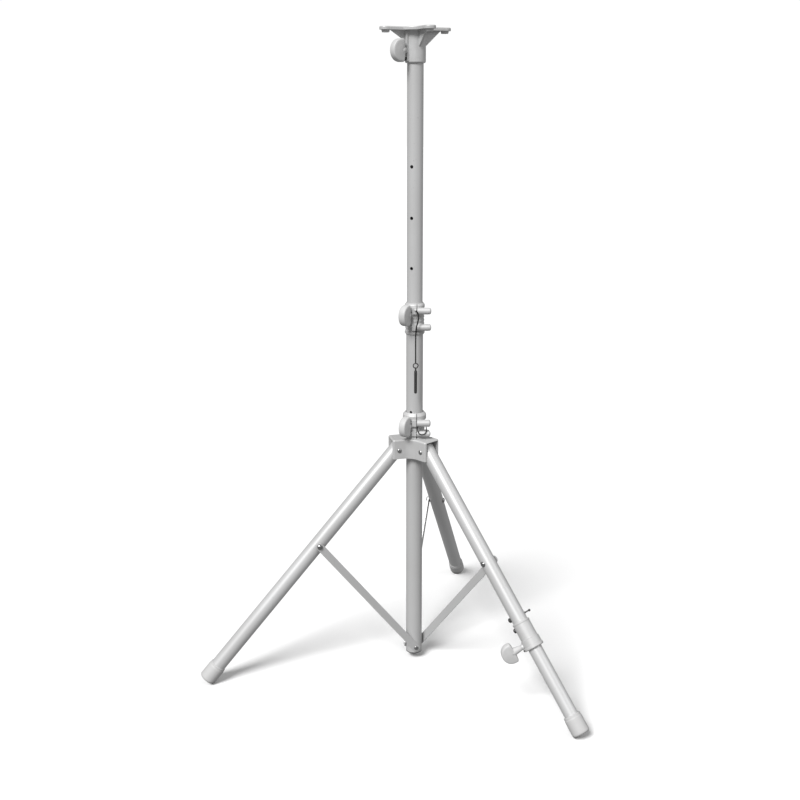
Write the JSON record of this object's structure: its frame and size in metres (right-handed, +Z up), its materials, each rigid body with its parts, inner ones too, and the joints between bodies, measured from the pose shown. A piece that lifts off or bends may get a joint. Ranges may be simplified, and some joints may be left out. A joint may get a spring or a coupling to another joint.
{
  "type": "speaker stand",
  "caption": "Folding tripod stand for a loudspeaker: four-arm top plate on a telescopic pole, two wing-knob clamps, strutted legs, one leg adjustable in length.",
  "frame": {"origin": "on the floor, at the centre of the rectangle round the three feet", "axes": "+Z up along the pole, +Y towards the rear leg (leg 3), +X to the side of the adjustable leg (leg 2)"},
  "size_m": [0.8966, 0.782, 1.458],
  "materials": {
    "silver_paint": "satin silver-grey powder coat over steel tube",
    "cast_paint": "satin silver-grey paint over die casting",
    "knob_grip": "silver-grey moulded wing grip",
    "foot_cap": "light grey moulded foot cap",
    "nylon": "dark nylon",
    "steel": "zinc-plated steel",
    "dark_steel": "blackened steel",
    "black_cord": "braided black cord",
    "brass": "plain brass"
  },
  "bodies": {
    "mast": {"outer_tube": "silver_paint", "tube_end_plug": "nylon", "strut_foot_rivets": "steel", "upper_clamp_collar": "cast_paint", "upper_clamp_bolts": "steel", "upper_clamp_nuts": "cast_paint", "pole_bearing_ring": "nylon", "upper_clamp_pad": "brass", "cord_eye": "steel", "safety_cord": "black_cord", "lock_pin_ring": "steel", "lock_pin": "dark_steel"},
    "inner_pole": {"inner_pole": "silver_paint", "pole_guide_bush": "nylon", "pole_top_plug": "nylon"},
    "speaker_plate": {"speaker_plate": "cast_paint", "socket_set_screw": "dark_steel"},
    "plate_knob": {"plate_knob": "knob_grip", "plate_screw": "steel"},
    "upper_clamp_knob": {"upper_clamp_knob": "knob_grip", "upper_clamp_screw": "steel"},
    "lower_clamp_knob": {"lower_clamp_knob": "knob_grip", "lower_clamp_screw": "steel"},
    "hub": {"hub_casting": "cast_paint", "hub_pivot_bolts": "steel", "hub_pivot_nuts": "steel", "lower_clamp_collar": "cast_paint", "lower_clamp_bolts": "steel", "lower_clamp_nuts": "cast_paint", "lower_clamp_pad": "brass", "hub_retainer_cord": "black_cord"},
    "leg_1": {"leg_1_tube": "silver_paint", "leg_1_top_plug": "nylon", "leg_1_foot": "foot_cap", "leg_1_strut_bolt": "steel"},
    "leg_2": {"leg_2_tube": "silver_paint", "leg_2_top_plug": "nylon", "leg_2_strut_bolt": "steel", "leg_clamp_sleeve": "cast_paint", "leg_sleeve_rivets": "dark_steel", "leg_clamp_pad": "brass", "leg_pin_socket": "dark_steel"},
    "leg_2_extension": {"leg_2_inner_tube": "silver_paint", "leg_2_foot": "foot_cap"},
    "leg_clamp_knob": {"leg_clamp_knob": "knob_grip", "leg_clamp_screw": "steel"},
    "leg_lock_pin": {"leg_lock_pin": "dark_steel"},
    "leg_3": {"leg_3_tube": "silver_paint", "leg_3_top_plug": "nylon", "leg_3_foot": "foot_cap", "leg_3_strut_bolt": "steel"},
    "strut_1": {"strut_1": "silver_paint"},
    "strut_2": {"strut_2": "silver_paint"},
    "strut_3": {"strut_3": "silver_paint"}
  },
  "joints": [
    {"name": "leg_fold", "type": "hinge", "parent": "mast", "child": "strut_1", "pos_m": [0, -0.1231, 0.032], "axis": [-0.5, 0.866, 0], "range_deg": [0, 29.5]},
    {"name": "strut_1_top", "type": "hinge", "parent": "strut_1", "child": "leg_1", "pos_m": [-0.19982, -0.23847, 0.32162], "axis": [0.5, -0.866, 0], "range_deg": [0, 67.88]},
    {"name": "leg_1_pivot", "type": "hinge", "parent": "leg_1", "child": "hub", "pos_m": [-0.03603, -0.1439, 0.53881], "axis": [-0.5, 0.866, 0], "range_deg": [0, 38.38]},
    {"name": "leg_2_pivot", "type": "hinge", "parent": "hub", "child": "leg_2", "pos_m": [0.03603, -0.1439, 0.53881], "axis": [0.5, 0.866, 0], "range_deg": [0, 38.38]},
    {"name": "strut_2_foot", "type": "hinge", "parent": "mast", "child": "strut_2", "pos_m": [0, -0.1231, 0.032], "axis": [-0.5, -0.866, 0], "range_deg": [0, 30]},
    {"name": "leg_3_pivot", "type": "hinge", "parent": "hub", "child": "leg_3", "pos_m": [0, -0.0815, 0.53881], "axis": [-1, 0, 0], "range_deg": [0, 38.38]},
    {"name": "strut_3_foot", "type": "hinge", "parent": "mast", "child": "strut_3", "pos_m": [0, -0.1231, 0.032], "axis": [1, 0, 0], "range_deg": [0, 30]},
    {"name": "pole_slide", "type": "slide", "parent": "mast", "child": "inner_pole", "axis": [0, 0, 1], "range_m": [-0.5, 0.13]},
    {"name": "plate_lift", "type": "slide", "parent": "inner_pole", "child": "speaker_plate", "axis": [0, 0, 1], "range_m": [0, 0.064]},
    {"name": "plate_knob_turn", "type": "hinge", "parent": "speaker_plate", "child": "plate_knob", "pos_m": [-0.01956, -0.14906, 1.411], "axis": [-0.6018, -0.7986, 0], "range_deg": [0, 360]},
    {"name": "upper_clamp_knob_turn", "type": "hinge", "parent": "mast", "child": "upper_clamp_knob", "pos_m": [-0.00807, -0.15199, 0.853], "axis": [-0.2689, -0.9632, 0], "range_deg": [0, 360]},
    {"name": "lower_clamp_knob_turn", "type": "hinge", "parent": "hub", "child": "lower_clamp_knob", "pos_m": [-0.00807, -0.15199, 0.596], "axis": [-0.2689, -0.9632, 0], "range_deg": [0, 360]},
    {"name": "leg_clamp_knob_turn", "type": "hinge", "parent": "leg_2", "child": "leg_clamp_knob", "pos_m": [0.27604, -0.31569, 0.15282], "axis": [-0.8199, -0.2993, -0.488], "range_deg": [0, 360]},
    {"name": "leg_2_slide", "type": "slide", "parent": "leg_2", "child": "leg_2_extension", "axis": [0.5687, -0.3284, -0.7541], "range_m": [-0.068, 0.045]},
    {"name": "leg_pin_pull", "type": "slide", "parent": "leg_2", "child": "leg_lock_pin", "axis": [0.8199, 0.2993, 0.488], "range_m": [0, 0.042]}
  ],
  "couplings": [
    {"joint": "strut_1_top", "follows": "leg_fold", "ratio": 2.284},
    {"joint": "leg_1_pivot", "follows": "leg_fold", "ratio": 1.284},
    {"joint": "leg_2_pivot", "follows": "leg_fold", "ratio": 1.284},
    {"joint": "strut_2_foot", "follows": "leg_fold", "ratio": 1},
    {"joint": "leg_3_pivot", "follows": "leg_fold", "ratio": 1.284},
    {"joint": "strut_3_foot", "follows": "leg_fold", "ratio": 1}
  ]
}
